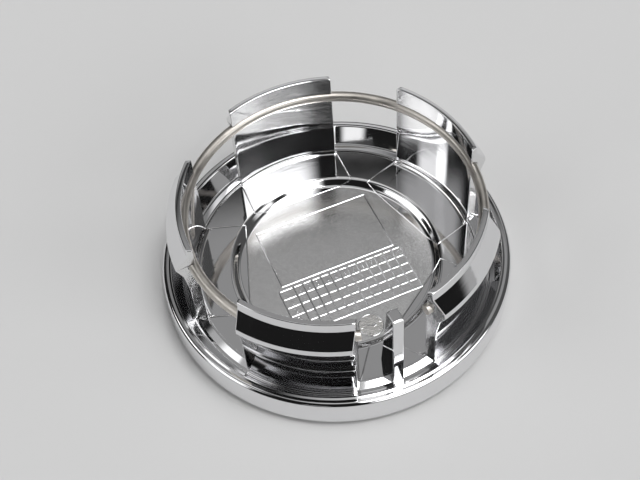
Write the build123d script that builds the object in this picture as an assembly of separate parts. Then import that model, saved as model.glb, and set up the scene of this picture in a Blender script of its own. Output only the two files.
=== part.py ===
"""Snap-in wheel centre cap, lying on its show face with its legs up.

Millimetres, +Z up along the cap's axis. The origin is the centre of the show face,
on the surface that the cap rests on. The locating rib points along -Y.
"""
from build123d import *
import math
import os

# Show face and rim
rim_diameter = 54.0          # over the outer wall
rim_height = 6.3             # show face to the rim's crest
rim_crest_width = 1.5        # flat crest before its edges are rounded
rim_crest_radius = 0.7       # rounding between crest and outer wall
rim_lip_radius = 0.3         # rounding between crest and inner slope
face_flat_diameter = 34.0    # flat middle of the show face
face_crown = 0.5             # rise of the show face from its flat middle to the wall
face_crown_radius = 100.0    # how softly the flat middle turns into that rise
face_edge_radius = 1.5       # rounding between show face and outer wall

# Parting step on the crest, where the two halves of the mould met
parting_inset = 1.1          # from the outer wall
parting_step = 0.1           # height of the step

# Floor inside the cap
floor_height = 3.85          # show face to the floor
recess_diameter = 30.6       # flat bottom of the round recess
recess_depth = 0.8           # floor to the recess
recess_wall_run = 1.05       # how far the recess wall leans outwards
recess_edge_radius = 1.2     # rounding at the top and foot of the recess wall
shelf_width = 0.47           # flat floor between the root ring and the rim's inner slope

# Root ring, a low ring that the legs stand on
root_ring_height = 0.35
root_ring_land = 0.4         # flat top of the ring
root_ring_run = 1.0          # outward slope of the ring, down to the floor

# Legs
leg_count = 5
leg_height = 21.3            # show face to the top of a leg
leg_width = 16.7             # between a leg's two parallel ends
leg_setback = 5.1            # outer wall of the rim to the inner faces of the legs, at the floor
leg_lean = 0.05              # how much further out the inner faces are at the top
leg_stem = 1.6               # thickness of the stem at the floor
leg_root_radius = 0.4        # rounding where the stem's outside meets the floor
leg_root_foot = 0.8          # outward length of that root, along the floor
leg_heel_radius = 0.8        # rounding where the inner face meets the floor
leg_heel_flat = 0.1          # flat foot of that heel, inwards of the rounding
leg_top_land = 0.85          # thickness at the very top
leg_top_break = 0.15         # broken edges round the very top

# Hook on the outside of each leg, measured down from the leg's top
hook_reach = 1.35            # nose beyond the stem
hook_brow = 1.45             # steep face below the top land
hook_brow_run = 0.15         # outward lean of that face
hook_lead = 3.8              # foot of the lead-in slope
hook_nose = 0.85             # height of the nose
hook_nose_run = 0.15         # outward lean of the nose
hook_relief = 6.4            # foot of the undercut
hook_relief_run = 0.45       # what is left of the reach there
hook_blend = 9.8             # where the undercut has run into the stem
hook_blend_radius = 0.9      # rounding of the undercut's two bends

# Wire ring and the groove that holds it
wire_diameter = 1.6
wire_drop = 4.05             # leg top to the wire's centre
wire_inset = 0.3             # wire centre further out than the foot of the legs' inner faces
wire_clearance = 0.05        # all round, between wire and groove
wire_end_reach = 0.5         # free end beyond the last leg

# Locating rib
rib_thickness = 1.7
rib_height = 20.1            # show face to the rib's top
rib_top_inset = 0.65         # inner top corner inside the foot of the legs' inner faces
rib_top_length = 2.3
rib_foot_inset = 2.9         # inner foot inside the foot of the legs' inner faces
rib_foot_length = 4.65
rib_edge_radius = 0.4

# Seats shared by several pieces
rim_radius = rim_diameter / 2
inner_radius = rim_radius - leg_setback
top_radius = inner_radius + leg_lean
stem_radius = inner_radius + leg_stem
heel_radius = inner_radius - leg_heel_radius - leg_heel_flat
recess_height = floor_height - recess_depth
ring_top = floor_height + root_ring_height
wire_radius = wire_diameter / 2
wire_path_radius = inner_radius + wire_inset
wire_height = leg_height - wire_drop
rib_angle = -90.0
leg_pitch = 360.0 / leg_count
leg_angles = [rib_angle + leg_pitch * (i + 0.5) for i in range(leg_count)]


def revolved_section(points, radii, arc=360.0):
    """Spin a closed section, given as (radius, height) points with a rounding at each corner."""
    corners = [(radius, 0, height) for radius, height in points]
    outline = FilletPolyline(*corners, radius=radii, close=True)
    return revolve(make_face(outline), Axis.Z, arc)


def cap_shell():
    """Face disc with its rim, the stepped floor and the low root ring."""
    crest_start = rim_radius - rim_crest_width
    ring_foot = inner_radius + root_ring_land + root_ring_run
    slope_foot = ring_foot + shelf_width
    parting_radius = rim_radius - parting_inset
    section = [
        ((0, 0), 0),
        ((face_flat_diameter / 2, 0), face_crown_radius),
        ((rim_radius, face_crown), face_edge_radius),
        ((rim_radius, rim_height - parting_step), rim_crest_radius),
        ((parting_radius, rim_height - parting_step), 0),
        ((parting_radius, rim_height), 0),
        ((crest_start, rim_height), rim_lip_radius),
        ((slope_foot, floor_height), 0),
        ((ring_foot, floor_height), 0),
        ((inner_radius + root_ring_land, ring_top), 0),
        ((inner_radius, ring_top), 0),
        ((inner_radius, floor_height), 0),
        ((recess_diameter / 2 + recess_wall_run, floor_height), recess_edge_radius),
        ((recess_diameter / 2, recess_height), recess_edge_radius),
        ((0, recess_height), 0),
    ]
    return revolved_section([point for point, _ in section], [radius for _, radius in section])


def leg():
    """One hooked leg on +X: a spun section trimmed to its two parallel ends."""
    section = [
        ((heel_radius, recess_height), 0),
        ((heel_radius, floor_height), 0),
        ((inner_radius, floor_height), leg_heel_radius),
        ((top_radius, leg_height), 0),
        ((top_radius + leg_top_land, leg_height), 0),
        ((top_radius + leg_top_land + hook_brow_run, leg_height - hook_brow), 0),
        ((stem_radius + hook_reach - hook_nose_run, leg_height - hook_lead), 0),
        ((stem_radius + hook_reach, leg_height - hook_lead - hook_nose), 0),
        ((stem_radius + hook_relief_run, leg_height - hook_relief), hook_blend_radius),
        ((stem_radius, leg_height - hook_blend), hook_blend_radius),
        ((stem_radius, floor_height), leg_root_radius),
        ((stem_radius + leg_root_foot, floor_height), 0),
        ((stem_radius + leg_root_foot, recess_height), 0),
    ]
    spun = revolved_section([point for point, _ in section], [radius for _, radius in section], leg_pitch)
    centred = Rot(0, 0, -leg_pitch / 2) * spun
    reach = stem_radius + hook_reach
    trim = Pos(reach, 0, leg_height / 2) * Box(2 * reach, leg_width, 2 * leg_height)
    trimmed = centred & trim
    top = trimmed.faces().sort_by(Axis.Z)[-1]
    return chamfer(top.edges(), leg_top_break)


def locating_rib():
    """Tapered radial plate between two legs, standing on the floor across the root ring."""
    top_inner = inner_radius - rib_top_inset
    foot_inner = inner_radius - rib_foot_inset
    outline = FilletPolyline(
        (foot_inner, 0, recess_height),
        (foot_inner, 0, floor_height),
        (top_inner, 0, rib_height),
        (top_inner + rib_top_length, 0, rib_height),
        (foot_inner + rib_foot_length, 0, floor_height),
        (foot_inner + rib_foot_length, 0, recess_height),
        radius=[0, 0, rib_edge_radius, rib_edge_radius, 0, 0],
        close=True,
    )
    return extrude(make_face(outline), rib_thickness / 2, dir=(0, 1, 0), both=True)


def wire_groove():
    """Round groove for the wire, open to the inner faces of the legs."""
    bore_radius = wire_radius + wire_clearance
    section = Plane.XZ * Pos(wire_path_radius, wire_height) * Circle(bore_radius)
    mouth = Plane.XZ * Pos(wire_path_radius - bore_radius, wire_height) * Rectangle(2 * bore_radius, 2 * bore_radius)
    return revolve(section + mouth, Axis.Z)


def cap_body():
    """The whole moulding: shell, legs with their groove, and rib."""
    grooved_leg = leg() - wire_groove()
    body = cap_shell()
    for angle in leg_angles:
        body += Rot(0, 0, angle) * grooved_leg
    body += Rot(0, 0, rib_angle) * locating_rib()
    return body


def spring_ring():
    """Split ring of round wire, its two ends just past the legs beside the rib."""
    leg_end = math.degrees(math.asin(leg_width / 2 / wire_path_radius))
    reach = math.degrees(wire_end_reach / wire_path_radius)
    half_gap = leg_pitch / 2 - leg_end - reach
    section = Plane.XZ * Pos(wire_path_radius, wire_height) * Circle(wire_radius)
    ring = revolve(section, Axis.Z, 360.0 - 2 * half_gap)
    return Rot(0, 0, rib_angle + half_gap) * ring


def main():
    os.makedirs("parts", exist_ok=True)
    for name, solid in (("cap_body", cap_body()), ("spring_ring", spring_ring())):
        export_step(solid, f"parts/{name}.step")
        size = solid.bounding_box().size
        print(f"{name}: {solid.volume:.1f} mm3, {size.X:.2f} x {size.Y:.2f} x {size.Z:.2f} mm")


main()
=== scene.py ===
# %% [markdown]
# # A chromed wheel centre cap, seen from behind
#
# A centre cap closes the hole in the middle of a road wheel. This one lies on its show face,
# so we look at the back: a shallow dish with hooked legs that snap into the wheel, a rib that
# keeps the cap from turning, and a split ring of spring wire that pushes the legs outwards.
# The solids come from the CAD model and stay where they are. Blender gives the part what a
# mirror finish needs: finely rounded edges, clean normals, moulding marks and light to reflect.

# %% Load the solids
import bpy
import bmesh
import math
from mathutils import Matrix, Vector


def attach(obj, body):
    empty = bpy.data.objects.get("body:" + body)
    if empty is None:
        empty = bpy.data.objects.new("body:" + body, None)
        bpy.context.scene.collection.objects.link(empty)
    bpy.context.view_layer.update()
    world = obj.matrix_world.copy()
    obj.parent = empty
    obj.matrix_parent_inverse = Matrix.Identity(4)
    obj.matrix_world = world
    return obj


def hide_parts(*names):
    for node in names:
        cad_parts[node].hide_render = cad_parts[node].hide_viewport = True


MM = 0.001
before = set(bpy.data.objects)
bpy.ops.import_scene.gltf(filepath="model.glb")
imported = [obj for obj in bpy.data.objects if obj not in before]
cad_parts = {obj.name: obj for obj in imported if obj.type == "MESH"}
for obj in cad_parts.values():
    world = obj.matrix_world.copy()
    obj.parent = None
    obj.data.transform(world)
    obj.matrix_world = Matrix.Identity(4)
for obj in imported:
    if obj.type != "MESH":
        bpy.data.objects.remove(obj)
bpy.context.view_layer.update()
print("CAD nodes:", sorted(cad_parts))

# %% [markdown]
# ## Sizes
#
# The main sizes are the ones that the solids were drawn with, in millimetres, so a piece made here
# lands exactly on the solid that it dresses. The small ones stand beside the piece that needs them.

# %% Main sizes of the cap
rim_radius = 27.0
rim_height = 6.3
floor_height = 3.85
recess_height = 3.05
recess_radius = 15.3
recess_top_radius = 16.35
inner_radius = 21.9
top_radius = 21.95
stem_radius = 23.5
leg_height = 21.3
leg_half_width = 8.35
leg_angles = [-54.0, 18.0, 90.0, 162.0, 234.0]
rib_angle = -90.0
wire_radius = 0.8
wire_path_radius = 22.2
wire_height = 17.25
print("legs at", leg_angles, "degrees, rib at", rib_angle)

# %% [markdown]
# ## Bright chrome
#
# Bright chrome is a mirror with a faint wave in it: the metal follows the moulding's skin. Where the
# mould was left rougher, the plating follows that too: the middle of the recess is satin, and the ends
# of the legs and the small dial sparkle. One helper makes them all, and the wire's steel too, because
# they are metals that differ only in colour, roughness and bump. Noise drives the last two, because a
# perfectly even metal looks computed.

# %% Chrome and spring steel
def metal(name, colour, rough, smudge_scale, bump_scale, bump_height, streaks=1.0):
    """A metal whose roughness and surface vary a little, with level streaks on upright walls."""
    noise_low, noise_high = 0.35, 0.7
    made = bpy.data.materials.new(name)
    made.use_nodes = True
    nodes, links = made.node_tree.nodes, made.node_tree.links
    shader = nodes["Principled BSDF"]
    shader.inputs["Base Color"].default_value = (*colour, 1.0)
    shader.inputs["Metallic"].default_value = 1.0
    place = nodes.new("ShaderNodeTexCoord")
    smudge = nodes.new("ShaderNodeTexNoise")
    smudge.inputs["Scale"].default_value = smudge_scale
    smudge.inputs["Detail"].default_value = 5.0
    links.new(place.outputs["Object"], smudge.inputs["Vector"])
    spread = nodes.new("ShaderNodeMapRange")
    spread.inputs["From Min"].default_value = noise_low
    spread.inputs["From Max"].default_value = noise_high
    spread.inputs["To Min"].default_value = rough[0]
    spread.inputs["To Max"].default_value = rough[1]
    links.new(smudge.outputs["Fac"], spread.inputs["Value"])
    links.new(spread.outputs["Result"], shader.inputs["Roughness"])
    wave = nodes.new("ShaderNodeTexNoise")
    wave.inputs["Scale"].default_value = bump_scale
    wave.inputs["Detail"].default_value = 2.0
    flatten = nodes.new("ShaderNodeMapping")
    flatten.inputs["Scale"].default_value = (1.0, 1.0, streaks)
    links.new(place.outputs["Object"], flatten.inputs["Vector"])
    links.new(flatten.outputs["Vector"], wave.inputs["Vector"])
    bump = nodes.new("ShaderNodeBump")
    bump.inputs["Strength"].default_value = 1.0
    bump.inputs["Distance"].default_value = bump_height * MM
    links.new(wave.outputs["Fac"], bump.inputs["Height"])
    links.new(bump.outputs["Normal"], shader.inputs["Normal"])
    return made


bright_chrome = metal(
    "bright_chrome", (0.8, 0.8, 0.81), rough=(0.03, 0.07), smudge_scale=90.0,
    bump_scale=180.0, bump_height=0.0025, streaks=5.0)
satin_chrome = metal(
    "satin_chrome", (0.8, 0.8, 0.8), rough=(0.17, 0.27), smudge_scale=3400.0,
    bump_scale=2600.0, bump_height=0.002)
coarse_chrome = metal(
    "coarse_chrome", (0.78, 0.78, 0.78), rough=(0.1, 0.25), smudge_scale=900.0,
    bump_scale=2600.0, bump_height=0.03)
grainy_chrome = metal(
    "grainy_chrome", (0.8, 0.79, 0.77), rough=(0.1, 0.2), smudge_scale=900.0,
    bump_scale=5200.0, bump_height=0.03)
spring_steel = metal(
    "spring_steel", (0.58, 0.55, 0.51), rough=(0.28, 0.46), smudge_scale=700.0,
    bump_scale=2500.0, bump_height=0.012)
metals = (bright_chrome, satin_chrome, coarse_chrome, grainy_chrome, spring_steel)
print("materials:", [made.name for made in metals])

# %% [markdown]
# ## Rounded outlines
#
# A plated moulding has no knife edges: each corner is rounded by the mould and by the metal that
# grew on it. On a mirror surface those small roundings carry most of the highlights. A bevel modifier
# would give all edges one width. Here each corner needs its own, so every section below is a list of
# corners with a radius each, and one helper turns it into points.

# %% Turn corners with radii into a smooth outline
def rounded(corners, degrees_a_step=9.0):
    """Points of a closed outline; each corner is (across, up, radius), in millimetres."""
    fewest_steps = 2
    points = []
    for i, (x, y, radius) in enumerate(corners):
        here = Vector((x, y))
        if radius == 0:
            points.append(here)
            continue
        back = (Vector(corners[i - 1][:2]) - here).normalized()
        ahead = (Vector(corners[(i + 1) % len(corners)][:2]) - here).normalized()
        half = back.angle(ahead) / 2
        centre = here + (back + ahead).normalized() * (radius / math.sin(half))
        first = here + back * (radius / math.tan(half)) - centre
        last = here + ahead * (radius / math.tan(half)) - centre
        sweep = first.angle_signed(last)
        steps = max(fewest_steps, math.ceil(abs(math.degrees(sweep)) / degrees_a_step))
        for k in range(steps + 1):
            points.append(centre + Matrix.Rotation(-sweep * k / steps, 2) @ first)
    return points


square = rounded([(0, 0, 1), (10, 0, 1), (10, 10, 1), (0, 10, 1)])
print("a 10 mm square with 1 mm corners has", len(square), "points")

# %% [markdown]
# ## The section of the dish
#
# The dish is round, so half of its section spun about the axis gives all of it: the show face with
# its slight crown, the outer wall, the crest with the fine step where the mould's halves met, the
# inner slope, the low root ring, the floor and the round recess. The root ring stands a hair behind
# the legs' inner faces here, so that the two skins don't lie in each other when they are fused.

# %% Draw the section of the dish
face_flat_radius = 17.0
face_crown = 0.5
face_crown_radius = 100.0
face_edge_radius = 1.5
crest_edge_radius = 0.7
step_height = 0.1
step_foot = 25.96
step_top = 25.68
step_edge_radius = 0.05
lip = 25.5
lip_radius = 0.3
slope_foot = 23.77
ring_foot = 23.3
ring_land_end = 22.3
ring_top = 4.2
ring_bend_radius = 0.12
ring_edge_radius = 0.08
ring_root_radius = 0.1
hair = 0.02
ring_back = inner_radius + hair
recess_edge_radius = 1.2
dish_section = rounded([
    (0, 0, 0),
    (face_flat_radius, 0, face_crown_radius),
    (rim_radius, face_crown, face_edge_radius),
    (rim_radius, rim_height - step_height, crest_edge_radius),
    (step_foot, rim_height - step_height, step_edge_radius),
    (step_top, rim_height, step_edge_radius),
    (lip, rim_height, lip_radius),
    (slope_foot, floor_height, ring_bend_radius),
    (ring_foot, floor_height, ring_bend_radius),
    (ring_land_end, ring_top, ring_bend_radius),
    (ring_back, ring_top, ring_edge_radius),
    (ring_back, floor_height, ring_root_radius),
    (recess_top_radius, floor_height, recess_edge_radius),
    (recess_radius, recess_height, recess_edge_radius),
    (0, recess_height, 0),
], degrees_a_step=6.0)
print("section of the dish:", len(dish_section), "points")

# %% [markdown]
# ## The dish
#
# A bmesh is Blender's workbench for meshes, and here it is a lathe: it spins the section about the
# axis. A screw modifier could do the same. The bmesh was chosen because the recess is cut in it next,
# and because the spin keeps every ring of faces even, which a mirror shows at once.

# %% Spin the dish
dish_steps = 320
same_place = 1e-6


def spun(outline, steps):
    """Spin an outline that starts and ends on the axis into a closed skin."""
    maker = bmesh.new()
    verts = [maker.verts.new((p.x * MM, 0, p.y * MM)) for p in outline]
    edges = [maker.edges.new(pair) for pair in zip(verts, verts[1:])]
    bmesh.ops.spin(
        maker, geom=verts + edges, axis=(0, 0, 1), cent=(0, 0, 0), steps=steps, angle=math.tau)
    bmesh.ops.remove_doubles(maker, verts=maker.verts, dist=same_place)
    return maker


dish_skin = spun(dish_section, dish_steps)
print("dish:", len(dish_skin.faces), "faces in", dish_steps, "steps")

# %% [markdown]
# ## The satin middle
#
# The slides that formed the legs were polished, and they reached over the edge of the recess. So its
# bottom is cut along the noses of the slides, and only the middle between them is satin. A mask in the
# material could part the two finishes too, but a border in the mesh stays when the part leaves
# Blender.

# %% Cut the bottom of the recess
slide_nose = 13.9
satin_index = 2
cut_tolerance = 1e-7


def recess_bottom(maker):
    """The faces at the bottom of the recess."""
    return [
        face for face in maker.faces
        if abs(face.calc_center_median().z - recess_height * MM) < same_place
    ]


def satin_middle(maker):
    """Cut the bottom of the recess along the slides' noses; what lies between them is satin."""
    turns = [Matrix.Rotation(math.radians(angle), 3, "Z") for angle in leg_angles]
    outwards = [turn @ Vector((1, 0, 0)) for turn in turns]
    for way in outwards:
        faces = recess_bottom(maker)
        edges = {edge for face in faces for edge in face.edges}
        verts = {vert for face in faces for vert in face.verts}
        bmesh.ops.bisect_plane(
            maker, geom=[*verts, *edges, *faces],
            plane_co=way * slide_nose * MM, plane_no=way, dist=cut_tolerance)
    for face in recess_bottom(maker):
        if all(face.calc_center_median().dot(way) < slide_nose * MM for way in outwards):
            face.material_index = satin_index


def new_object(name, mesh_maker, *finishes):
    """A mesh object from a bmesh, with its normals pointing outwards and its materials."""
    bmesh.ops.recalc_face_normals(mesh_maker, faces=mesh_maker.faces)
    mesh = bpy.data.meshes.new(name)
    mesh_maker.to_mesh(mesh)
    mesh_maker.free()
    for finish in finishes:
        mesh.materials.append(finish)
    obj = bpy.data.objects.new(name, mesh)
    bpy.context.scene.collection.objects.link(obj)
    return obj


satin_middle(dish_skin)
dish = new_object("dish", dish_skin, bright_chrome, coarse_chrome, satin_chrome)
satin_faces = sum(face.material_index == satin_index for face in dish.data.polygons)
print("dish:", len(dish.data.polygons), "faces,", satin_faces, "of them satin")

# %% [markdown]
# ## The section of a leg
#
# Each leg is one section swept round the axis: a thin stem, a hook with a lead-in slope above and an
# undercut below, and on the inside a round groove for the wire. The hook's corners are measured as a
# toolmaker would: down from the top of the leg, and outwards from its inner face or its stem.

# %% Draw the section of a leg
heel_foot = 0.9
heel_radius = 0.8
groove_radius = 0.85
groove_corner_radius = 0.8
groove_lip_radius = 0.1
top_land = 0.85
top_edge_radius = 0.14
brow_reach, brow_drop = 1.0, 1.45
lead_reach, lead_drop = 1.2, 3.8
nose_reach, nose_drop = 1.35, 4.65
relief_reach, relief_drop = 0.45, 6.4
blend_drop = 9.8
blend_radius = 0.9
hook_edge_radius = 0.15
nose_edge_radius = 0.12
root_radius = 0.4
root_foot = 0.8


def inner_face(height):
    """Radius of a leg's inner face, which leans outwards a little towards the top."""
    lean = top_radius - inner_radius
    return inner_radius + lean * (height - floor_height) / (leg_height - floor_height)


groove_foot = wire_height - groove_radius
groove_top = wire_height + groove_radius
groove_back = wire_path_radius + groove_radius
leg_section = rounded([
    (inner_radius - heel_foot, recess_height, 0),
    (inner_radius - heel_foot, floor_height, 0),
    (inner_radius, floor_height, heel_radius),
    (inner_face(groove_foot), groove_foot, groove_lip_radius),
    (wire_path_radius, groove_foot, 0),
    (groove_back, groove_foot, groove_corner_radius),
    (groove_back, groove_top, groove_corner_radius),
    (wire_path_radius, groove_top, 0),
    (inner_face(groove_top), groove_top, groove_lip_radius),
    (top_radius, leg_height, top_edge_radius),
    (top_radius + top_land, leg_height, top_edge_radius),
    (top_radius + brow_reach, leg_height - brow_drop, hook_edge_radius),
    (stem_radius + lead_reach, leg_height - lead_drop, hook_edge_radius),
    (stem_radius + nose_reach, leg_height - nose_drop, nose_edge_radius),
    (stem_radius + relief_reach, leg_height - relief_drop, blend_radius),
    (stem_radius, leg_height - blend_drop, blend_radius),
    (stem_radius, floor_height, root_radius),
    (stem_radius + root_foot, floor_height, 0),
    (stem_radius + root_foot, recess_height, 0),
])
print("section of a leg:", len(leg_section), "points")

# %% [markdown]
# ## Helpers for swept pieces
#
# The legs, the rib and the wire are swept: one section, moved along a way. Their end edges are rounded
# too, so the section shrinks along a quarter circle towards each end, and a skin is lofted through all
# the slices. A curve object with a bevel sweeps as well, but it can only scale its section, which isn't
# the same as moving the outline inwards.

# %% Shrink a section and loft through slices
def shrunk(outline, by):
    """The same closed outline, moved inwards by a small distance."""
    sharpest_mitre = 0.4
    area = sum(a.x * b.y - b.x * a.y for a, b in zip(outline, outline[1:] + outline[:1]))
    inwards = 1.0 if area > 0 else -1.0
    moved = []
    for i, here in enumerate(outline):
        into = (here - outline[i - 1]).normalized()
        out = (outline[(i + 1) % len(outline)] - here).normalized()
        normal = Vector((-into.y, into.x)) * inwards
        mitre = (normal + Vector((-out.y, out.x)) * inwards).normalized()
        moved.append(here + mitre * (by / max(sharpest_mitre, mitre.dot(normal))))
    return moved


def rounded_ends(half_width, edge, middle_steps):
    """Places across a swept piece and how much the section shrinks there, from end to end."""
    arc_steps = 4
    quarter = [math.pi / 2 * k / arc_steps for k in range(arc_steps + 1)]
    end = [(half_width - edge * (1 - math.cos(a)), edge * (1 - math.sin(a))) for a in quarter]
    reach = half_width - edge
    middle = [(reach * (1 - 2 * k / middle_steps), 0.0) for k in range(1, middle_steps)]
    return end + middle + [(-across, shrink) for across, shrink in reversed(end)]


def lofted(name, loops, finishes):
    """A closed skin through loops of points; its end caps take the last finish."""
    maker = bmesh.new()
    rows = [[maker.verts.new(p) for p in loop] for loop in loops]
    for low, high in zip(rows, rows[1:]):
        for i in range(len(low)):
            maker.faces.new((low[i - 1], low[i], high[i], high[i - 1]))
    for cap in (rows[0], rows[-1]):
        maker.faces.new(cap).material_index = len(finishes) - 1
    return new_object(name, maker, *finishes)


widths = [p.x for p in shrunk(square, 0.5)]
print("the square, shrunk by 0.5 mm all round, is", round(max(widths) - min(widths), 2), "mm wide")

# %% [markdown]
# ## The hooked legs
#
# The two ends of a leg are parallel, because the mould part that forms the hook slides straight
# inwards. A spun piece would have radial ends. So the slices are parallel, and in each one the points
# of the section are moved onto their own circles about the axis.

# %% Loft the legs
end_edge = 0.12
leg_steps = 44


def leg(name, angle):
    """One leg with parallel ends; every point stays on its own circle about the axis."""
    turn = Matrix.Rotation(math.radians(angle), 3, "Z")
    loops = []
    for across, shrink in rounded_ends(leg_half_width, end_edge, leg_steps):
        loops.append([
            turn @ Vector((math.sqrt(p.x ** 2 - across ** 2), across, p.y)) * MM
            for p in shrunk(leg_section, shrink)
        ])
    return lofted(name, loops, (bright_chrome, coarse_chrome))


legs = [leg("leg_%d" % i, angle) for i, angle in enumerate(leg_angles)]
print("legs:", len(legs), "with", len(legs[0].data.polygons), "faces each")

# %% [markdown]
# ## The rib
#
# The rib is a plain tapered plate between the two front legs. A cube could be edited into it, but the
# helpers for the legs make it as well, from its own section and with straight slices.

# %% Loft the rib
rib_height = 20.1
rib_foot_inner, rib_foot_outer = 19.0, 23.65
rib_top_inner, rib_top_outer = 21.25, 23.55
rib_corner_radius = 0.4
rib_half_thickness = 0.85
rib_edge = 0.2
rib_steps = 2
rib_section = rounded([
    (rib_foot_inner, recess_height, 0),
    (rib_foot_inner, floor_height, 0),
    (rib_top_inner, rib_height, rib_corner_radius),
    (rib_top_outer, rib_height, rib_corner_radius),
    (rib_foot_outer, floor_height, 0),
    (rib_foot_outer, recess_height, 0),
])
rib_turn = Matrix.Rotation(math.radians(rib_angle), 3, "Z")
rib_loops = []
for across, shrink in rounded_ends(rib_half_thickness, rib_edge, rib_steps):
    rib_loops.append([
        rib_turn @ Vector((p.x, across, p.y)) * MM
        for p in shrunk(rib_section, shrink)
    ])
rib = lofted("rib", rib_loops, (bright_chrome,))
print("rib:", len(rib.data.polygons), "faces")

# %% [markdown]
# ## One moulding
#
# Dish, legs and rib are one moulding on the real cap. A Boolean union makes them one closed skin, with
# no walls left inside. To let the pieces stand in each other would be quicker, but then the moulding
# would be several skins, where the real one has a single one.

# %% Fuse the moulding
def gather(name, objects):
    """Join the meshes of several objects into a new one."""
    maker = bmesh.new()
    for o in objects:
        maker.from_mesh(o.data)
        bpy.data.objects.remove(o)
    return new_object(name, maker, bright_chrome, coarse_chrome)


def evaluated_mesh(obj):
    """The mesh of an object as it is after its modifiers, or of a text as it is drawn."""
    bpy.context.view_layer.update()
    return bpy.data.meshes.new_from_object(obj.evaluated_get(bpy.context.evaluated_depsgraph_get()))


legs_and_rib = gather("legs_and_rib", legs + [rib])
fuse = dish.modifiers.new("fuse", "BOOLEAN")
fuse.operation = "UNION"
fuse.solver = "EXACT"
fuse.object = legs_and_rib
fused = evaluated_mesh(dish)
fused.name = "cap_moulding"
moulding = bpy.data.objects.new("cap_moulding", fused)
bpy.context.scene.collection.objects.link(moulding)
bpy.data.objects.remove(dish)
bpy.data.objects.remove(legs_and_rib)
test = bmesh.new()
test.from_mesh(fused)
open_edges = sum(not edge.is_manifold for edge in test.edges)
test.free()
print("moulding:", len(fused.polygons), "faces, open edges:", open_edges)

# %% [markdown]
# ## Clean reflections
#
# A mirror shows how the normals run. Plain smooth shading bends them over large flat faces. Weighted
# normals follow the larger faces, so these stay flat while the roundings between them stay soft. Then
# the moulding takes the place of its solid.

# %% Shade the moulding and put it in place
def smooth(obj, sharp_degrees=40.0):
    """Smooth shading that breaks only at sharp edges, weighted by face size."""
    obj.data.shade_smooth()
    obj.data.set_sharp_from_angle(angle=math.radians(sharp_degrees))
    weighted = obj.modifiers.new("weighted_normals", "WEIGHTED_NORMAL")
    weighted.keep_sharp = True
    weighted.weight = 80


smooth(moulding)
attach(moulding, "root")
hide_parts("cap_body")
print("moulding: shaded with", [modifier.name for modifier in moulding.modifiers])

# %% [markdown]
# ## The spring wire
#
# The ring is a piece of drawn spring wire, bent round and cut, with its ends just past the legs beside
# the rib. A curve with a round bevel would make it too, but with sharp ends. A loft along the circle,
# with the ends shrunk a little, gives cut ends that aren't razor sharp.

# %% Bend the wire ring
wire_end_reach = 0.5
wire_sides = 28
wire_steps = 300
half_pitch = (leg_angles[1] - leg_angles[0]) / 2
leg_end = math.degrees(math.asin(leg_half_width / wire_path_radius))
half_gap = half_pitch - leg_end - math.degrees(wire_end_reach / wire_path_radius)
wire_arc = math.radians(180.0 - half_gap) * wire_path_radius
side_angles = [math.tau * side / wire_sides for side in range(wire_sides)]
wire_section = [Vector((math.cos(a), math.sin(a))) * wire_radius for a in side_angles]
wire_loops = []
for along, shrink in rounded_ends(wire_arc, end_edge, wire_steps):
    turn = Matrix.Rotation(math.radians(rib_angle + 180.0) + along / wire_path_radius, 3, "Z")
    wire_loops.append([
        turn @ Vector((wire_path_radius + p.x, 0, wire_height + p.y)) * MM
        for p in shrunk(wire_section, shrink)
    ])
wire = lofted("wire_ring", wire_loops, (spring_steel,))
smooth(wire)
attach(wire, "root")
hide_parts("spring_ring")
print("wire ring:", len(wire.data.polygons), "faces, gap", round(2 * half_gap, 1), "degrees")

# %% [markdown]
# ## Raised lines
#
# Moulders engrave their tools, so the floor of such a cap carries raised lines. A bump in the material
# would give only their shading, and it wouldn't be in the mesh. So a raised line is a low bar with a
# rounded back that follows the floor, also down the soft wall of the recess.

# %% Helpers for raised lines
bar_profile = [
    (-0.5, -0.6), (-0.5, 0.35), (-0.3, 0.85), (0.0, 1.0), (0.3, 0.85), (0.5, 0.35), (0.5, -0.6),
]
floor_end = 20.0
lowest = recess_height - 0.01
floor_line = sorted((p.x, p.y) for p in dish_section if p.y > lowest and p.x < floor_end)


def lift(x, y):
    """Height of the floor at a place, down the soft recess wall to its bottom."""
    radius = math.hypot(x, y)
    for (r0, z0), (r1, z1) in zip(floor_line, floor_line[1:]):
        if r0 <= radius <= r1:
            return z0 + (z1 - z0) * (radius - r0) / (r1 - r0)
    return floor_height


def bar(maker, path, width, height):
    """A raised line along points on the floor, with a rounded back and upright ends."""
    rows = []
    for i, (x, y) in enumerate(path):
        ahead = Vector(path[min(i + 1, len(path) - 1)]) - Vector(path[max(i - 1, 0)])
        side = Vector((-ahead.y, ahead.x)).normalized() * width
        foot = lift(x, y)
        rows.append([
            maker.verts.new(((x + side.x * s) * MM, (y + side.y * s) * MM, (foot + height * h) * MM))
            for s, h in bar_profile
        ])
    for low, high in zip(rows, rows[1:]):
        for k in range(len(bar_profile)):
            maker.faces.new((low[k - 1], low[k], high[k], high[k - 1]))
    maker.faces.new(rows[0])
    maker.faces.new(rows[-1])


def straight(a, b, pieces=1):
    """Points from a to b, ends included."""
    return [
        (a[0] + (b[0] - a[0]) * k / pieces, a[1] + (b[1] - a[1]) * k / pieces)
        for k in range(pieces + 1)
    ]


print("floor at the axis", lift(0, 0), "and under the legs", lift(inner_radius, 0))

# %% [markdown]
# ## The panel and the date table
#
# The recess carries a bare panel and below it a date table with its months across. The lines that lie
# across the view catch the light from above, and the ones along it stay grey. In the table each row
# is cut into dashes, because the columns were engraved through it. A line's width and height go in
# pairs.

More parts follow.
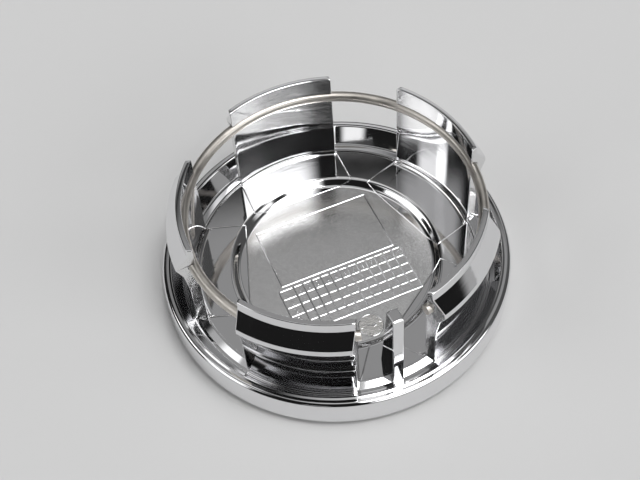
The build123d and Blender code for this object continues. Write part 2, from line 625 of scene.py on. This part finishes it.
# %% Raise the panel and the date table
panel_line = (0.22, 0.07)
row_line = (0.23, 0.075)
column_line = (0.18, 0.1)
marks = bmesh.new()
panel_left, panel_right, panel_front, panel_back = -9.45, 9.45, -0.63, 10.57
for a, b in (
    ((panel_left, panel_front), (panel_right, panel_front)),
    ((panel_left, panel_back), (panel_right, panel_back)),
    ((panel_left, panel_front), (panel_left, panel_back)),
    ((panel_right, panel_front), (panel_right, panel_back)),
):
    bar(marks, straight(a, b), *panel_line)

table_left, table_right, table_back, table_front = -10.3, 10.3, -1.38, -9.63
table_rows = 5
first_column = 2.4
month_columns = 12
row_break = 0.22
row_depth = (table_back - table_front) / table_rows
month_left = table_left + first_column
month_width = (table_right - table_left - first_column) / month_columns
columns = [table_left] + [month_left + k * month_width for k in range(month_columns + 1)]
for row in range(table_rows):
    y = table_back - row * row_depth
    for left, right in zip(columns, columns[1:]):
        bar(marks, straight((left + row_break, y), (right - row_break, y)), *row_line)
bar(marks, straight((table_left, table_front), (table_right, table_front)), *row_line)
for x in columns:
    bar(marks, straight((x, table_back), (x, table_front)), *column_line)
print("panel and table:", len(marks.faces), "faces")

# %% [markdown]
# ## The dial
#
# Beside the rib sits a small round dial: on a mould that is an insert with its own, grainy finish. It
# is a low disc with a ring, plain ticks and an arrow on it. Panel, table and dial sit a little askew to
# the rib, so they are turned together at the end. They never move apart, so they are one object with
# two finishes.

# %% Raise the dial and turn the marks
grainy_index = 1
dial_x, dial_y, dial_radius = 0.2, -12.7, 1.9
dial_sides = 48
dial_thickness = 0.06
dial_ticks = 12
tick_inner, tick_outer = 1.35, 1.65
ring_line = (0.16, 0.06)
tick_line = (0.14, 0.06)
arrow_line = (0.18, 0.08)
arrow_tail, arrow_tip = (-0.75, 0.35), (0.75, -0.35)
arrow_barbs = [(0.25, -0.45), (0.45, 0.1)]
mark_angle = 0.74


def on_dial(radius, step, steps):
    """A place on the dial, some steps round a circle of this radius."""
    a = math.tau * step / steps
    return (dial_x + radius * math.cos(a), dial_y + radius * math.sin(a))


bar(marks, [on_dial(dial_radius, k, dial_sides) for k in range(dial_sides + 1)], *ring_line)
dial_face = bmesh.ops.create_cone(
    marks, cap_ends=True, segments=dial_sides,
    radius1=dial_radius * MM, radius2=dial_radius * MM, depth=dial_thickness * MM,
    matrix=Matrix.Translation(Vector((dial_x, dial_y, recess_height)) * MM),
)
for face in {face for vert in dial_face["verts"] for face in vert.link_faces}:
    face.material_index = grainy_index
for k in range(dial_ticks):
    tick = straight(on_dial(tick_inner, k, dial_ticks), on_dial(tick_outer, k, dial_ticks))
    bar(marks, tick, *tick_line)
for a, b in [(arrow_tail, arrow_tip)] + [(arrow_tip, barb) for barb in arrow_barbs]:
    stroke = straight((dial_x + a[0], dial_y + a[1]), (dial_x + b[0], dial_y + b[1]))
    bar(marks, stroke, *arrow_line)
mark_turn = Matrix.Rotation(math.radians(mark_angle), 3, "Z")
bmesh.ops.rotate(marks, verts=marks.verts, cent=(0, 0, 0), matrix=mark_turn)
floor_marks = new_object("floor_marks", marks, bright_chrome, grainy_chrome)
smooth(floor_marks)
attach(floor_marks, "root")
print("floor marks:", len(floor_marks.data.polygons), "faces")

# %% [markdown]
# ## Numbers in the date table
#
# The months are plain numbers in the table's first row, and the rows below are numbered too. A text
# object with a little depth, turned into a mesh, is the quickest way to raised digits that also keep
# their shape outside Blender.

# %% Raise the numbers
digit_depth = 0.05
digit_bevel = 0.02
month_size = 1.15
two_digit_size = 0.95
row_size = 1.2


def raised_number(number, x, y, size):
    """The mesh of a short raised number, centred on a place of the recess floor."""
    letters = bpy.data.curves.new("number", "FONT")
    letters.body = str(number)
    letters.size = size * MM
    letters.extrude = digit_depth * MM
    letters.bevel_depth = digit_bevel * MM
    letters.resolution_u = 3
    letters.align_x = "CENTER"
    letters.align_y = "CENTER"
    holder = bpy.data.objects.new("number", letters)
    bpy.context.scene.collection.objects.link(holder)
    holder.location = (x * MM, y * MM, recess_height * MM)
    mesh = evaluated_mesh(holder)
    mesh.transform(holder.matrix_world)
    bpy.data.objects.remove(holder)
    return mesh


numbers = bmesh.new()
for column in range(month_columns):
    month = column + 1
    x = month_left + (column + 0.5) * month_width
    size = month_size if month < 10 else two_digit_size
    numbers.from_mesh(raised_number(month, x, table_back - row_depth / 2, size))
for row in range(1, table_rows):
    y = table_back - (row + 0.5) * row_depth
    numbers.from_mesh(raised_number(row, table_left + first_column / 2, y, row_size))
bmesh.ops.rotate(numbers, verts=numbers.verts, cent=(0, 0, 0), matrix=mark_turn)
table_numbers = new_object("table_numbers", numbers, bright_chrome)
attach(table_numbers, "root")
print("numbers:", len(table_numbers.data.polygons), "faces")

# %% [markdown]
# ## Witness lines of the mould slides
#
# In front of each leg a slide formed the inside of the hook. Where it met the rest of the mould, a fine
# raised line is left on the floor: two along the slide and one across its nose, down into the recess.
# The helper for raised lines draws these as well, in short pieces, so that they follow the recess wall.

# %% Draw the witness lines
slide_half = 8.4
slide_back = 21.4
slide_pieces = 48
witness_line = (0.2, 0.07)
slides = bmesh.new()
slide_corners = [
    (slide_back, -slide_half),
    (slide_nose, -slide_half),
    (slide_nose, slide_half),
    (slide_back, slide_half),
]
for angle in leg_angles:
    turn = Matrix.Rotation(math.radians(angle), 2)
    for a, b in zip(slide_corners, slide_corners[1:]):
        run = [tuple(turn @ Vector(p)) for p in straight(a, b, slide_pieces)]
        bar(slides, run, *witness_line)
witness_lines = new_object("witness_lines", slides, bright_chrome)
smooth(witness_lines)
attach(witness_lines, "root")
print("witness lines:", len(witness_lines.data.polygons), "faces")

# %% [markdown]
# ## The floor
#
# The cap lies on pale paper. Its sides mirror that paper, so the paper is plain and matt, and far wider
# than the picture: a small sheet would show its edge in the rim. A plane would do, but a disc has no
# corners to be seen.

# %% Lay the paper
paper_radius = 3.0
ground = bmesh.new()
bmesh.ops.create_circle(ground, cap_ends=True, segments=96, radius=paper_radius)
paper = bpy.data.materials.new("pale_paper")
paper.use_nodes = True
paper_shader = paper.node_tree.nodes["Principled BSDF"]
paper_shader.inputs["Base Color"].default_value = (0.62, 0.62, 0.62, 1.0)
paper_shader.inputs["Roughness"].default_value = 0.9
paper_shader.inputs["Specular IOR Level"].default_value = 0.2
floor = new_object("floor", ground, paper)
print("paper:", 2 * paper_radius, "m across")

# %% [markdown]
# ## A room of nodes
#
# Chrome has hardly any colour of its own: it shows the room, so the room is most of the finish. Lamps
# are small and leave a mirror empty, and a picture of a room would be a file. So the room is made in
# the world's nodes: each direction has a brightness. These helpers add one node each, so that the room
# can be written as a calculation.

# %% Helpers for the world's nodes
world = bpy.data.worlds.new("studio")
bpy.context.scene.world = world
world.use_nodes = True
nodes, links = world.node_tree.nodes, world.node_tree.links
direction = nodes.new("ShaderNodeTexCoord").outputs["Generated"]


def vector_math(operation, a, b=None):
    """A vector calculation in the world's nodes; the second value is a plain vector."""
    made = nodes.new("ShaderNodeVectorMath")
    made.operation = operation
    links.new(a, made.inputs[0])
    if b is not None:
        made.inputs[1].default_value = b
    return made.outputs["Value" if operation == "DOT_PRODUCT" else "Vector"]


def number_math(operation, a, b):
    """A calculation with two numbers that come from nodes."""
    made = nodes.new("ShaderNodeMath")
    made.operation = operation
    links.new(a, made.inputs[0])
    links.new(b, made.inputs[1])
    return made.outputs[0]


def eased(value, low, high, first, last):
    """A soft change from one strength to another while a value goes from low to high."""
    made = nodes.new("ShaderNodeMapRange")
    made.interpolation_type = "SMOOTHSTEP"
    links.new(value, made.inputs["Value"])
    sockets = ("From Min", "From Max", "To Min", "To Max")
    for socket, number in zip(sockets, (low, high, first, last)):
        made.inputs[socket].default_value = number
    return made.outputs["Result"]


height = vector_math("DOT_PRODUCT", direction, (0, 0, 1))
level = vector_math("NORMALIZE", vector_math("MULTIPLY", direction, (1, 1, 0)))
print("the world has", len(nodes), "nodes, with the height and the side of a direction")

# %% [markdown]
# ## One soft window
#
# A window in the room is a patch of directions: above its foot, below its head and near its middle.
# Each of the three is a soft change, and their product is the patch. Area lamps could be windows too,
# but each would need its own place, size and turn, and patches can be compared in one table. Around
# them the room is dim, the horizon glows as far paper does, and so does the ceiling.

# %% Dim the room and shape a window
horizon_foot, horizon_head = 0.02, 0.06
horizon_glow, room_glow = 0.4, 0.012
ceiling_foot, ceiling_glow = 0.95, 0.6
horizon = eased(height, horizon_foot, horizon_head, horizon_glow, room_glow)
ceiling = eased(height, ceiling_foot, 1.0, 0.0, ceiling_glow)
room = number_math("ADD", horizon, ceiling)


def window(azimuth, half_width, low, high, strength, fade, edge):
    """A bright window; angles in degrees, fade softens its sides and edge its foot and head."""
    a = math.radians(azimuth)
    across = vector_math("DOT_PRODUCT", level, (math.cos(a), math.sin(a), 0.0))
    far = math.cos(math.radians(half_width + fade))
    near = math.cos(math.radians(max(0.0, half_width - fade)))
    foot_dark, foot_lit, head_lit, head_dark = (
        math.sin(math.radians(h)) for h in (low - edge, low + edge, high - edge, high + edge))
    above = eased(height, foot_dark, foot_lit, 0.0, strength)
    below = eased(height, head_lit, head_dark, 1.0, 0.0)
    within = eased(across, far, near, 0.0, 1.0)
    return number_math("MULTIPLY", number_math("MULTIPLY", above, below), within)


print("room: glows by", room_glow, "and at the horizon by", horizon_glow)

# %% [markdown]
# ## The windows
#
# Soft windows at the left and at the front right give the white faces, a grey wall at the back fills
# the floor of the cap, and the dark side behind the camera gives the black bands that make the shapes
# read. Together they light the pale floor evenly. A row of the table is a window's middle, its half
# width, its foot and head, its strength and how soft its sides and its foot and head are. The middle is
# an azimuth: 0 is the right and 90 the back.

# %% Hang the windows
windows = [
    (-61, 31, 66.0, 80.0, 15.0, 4.0, 1.5),   # front right, high: the main light
    (-22, 12, 63.5, 80.0, 4.0, 4.0, 1.0),    # its end, further right
    (19, 29, 68.0, 80.0, 4.0, 4.0, 1.0),     # and on to the back right
    (-62, 30, 53.0, 66.0, 3.0, 11.0, 0.25),  # below the main light, for the recess
    (-62, 30, 51.0, 53.0, 1.8, 11.0, 0.25),  # its sill, for the floor before the back leg
    (-41, 14, 34.0, 47.0, 1.4, 9.0, 0.25),   # front right, half way up
    (-60, 35, 16.0, 34.0, 2.6, 4.0, 0.4),    # front right, low: the slopes of the rim
    (-37, 9, 9.5, 14.0, 0.3, 4.0, 0.8),      # a glow under that one
    (-125, 6, 19.0, 22.5, 1.1, 2.5, 0.8),    # front left, small: the back of the rim
    (163, 27, 34.5, 49.0, 2.2, 4.0, 0.4),    # left: the leg at the back right
    (186, 12, 11.0, 36.0, 1.3, 3.0, 0.8),    # left, low: the crest of the rim
    (161, 13, 49.8, 51.5, 1.2, 4.0, 0.4),    # left, a bar above the first one
    (151, 5, 49.8, 51.7, 1.2, 2.0, 0.4),     # the bar's bright end
    (158, 32, 51.5, 66.0, 0.45, 10.0, 1.0),  # left, high and dim
    (176, 10, 54.0, 66.0, 0.5, 4.0, 0.8),    # its brighter middle
    (149, 6, 55.0, 62.0, 0.9, 2.0, 0.4),     # left, high and narrow: the root ring
    (12, 36, 8.0, 80.0, 0.07, 4.0, 0.4),     # right: a dark wall
    (68, 22, 52.3, 62.0, 0.29, 8.0, 1.5),    # back: the floor of the cap
    (74, 40, 63.0, 76.0, 1.0, 15.0, 2.0),    # back, high: the satin of the recess
    (66, 30, 26.0, 50.0, 0.32, 16.0, 1.0),   # back, lower: the crest of the rim
    (66, 12, 43.0, 47.5, 0.3, 5.0, 0.6),     # brighter in its middle, for the tops of the legs
]
for sizes in windows:
    room = number_math("ADD", room, window(*sizes))
links.new(room, nodes["Background"].inputs["Color"])
print("room:", len(windows), "soft windows, from", len(nodes), "nodes")

# %% [markdown]
# ## Camera
#
# The camera stands where the photograph was taken from: well above the cap, a little to the left of
# the rib, with a slight roll and a short telephoto lens. Place, aim and roll are kept as numbers and
# the rotation follows from them, which is easier to read than three angles.

# %% Place the camera
camera_roll = -4.968
lens = bpy.data.cameras.new("camera")
lens.lens = 69.015
lens.sensor_width = 36.0
lens.clip_start = 0.01
lens.clip_end = 20.0
camera = bpy.data.objects.new("camera", lens)
bpy.context.scene.collection.objects.link(camera)
camera.location = Vector((-36.525, -103.143, 161.775)) * MM
aim = Vector((-1.346, 3.151, 6.0)) * MM
look = (aim - camera.location).to_track_quat("-Z", "Y").to_matrix().to_4x4()
roll = Matrix.Rotation(math.radians(camera_roll), 4, "Z")
camera.rotation_euler = (look @ roll).to_euler()
bpy.context.scene.camera = camera
bpy.context.scene.view_settings.view_transform = "Standard"
print("camera", round((aim - camera.location).length / MM), "mm from its aim")
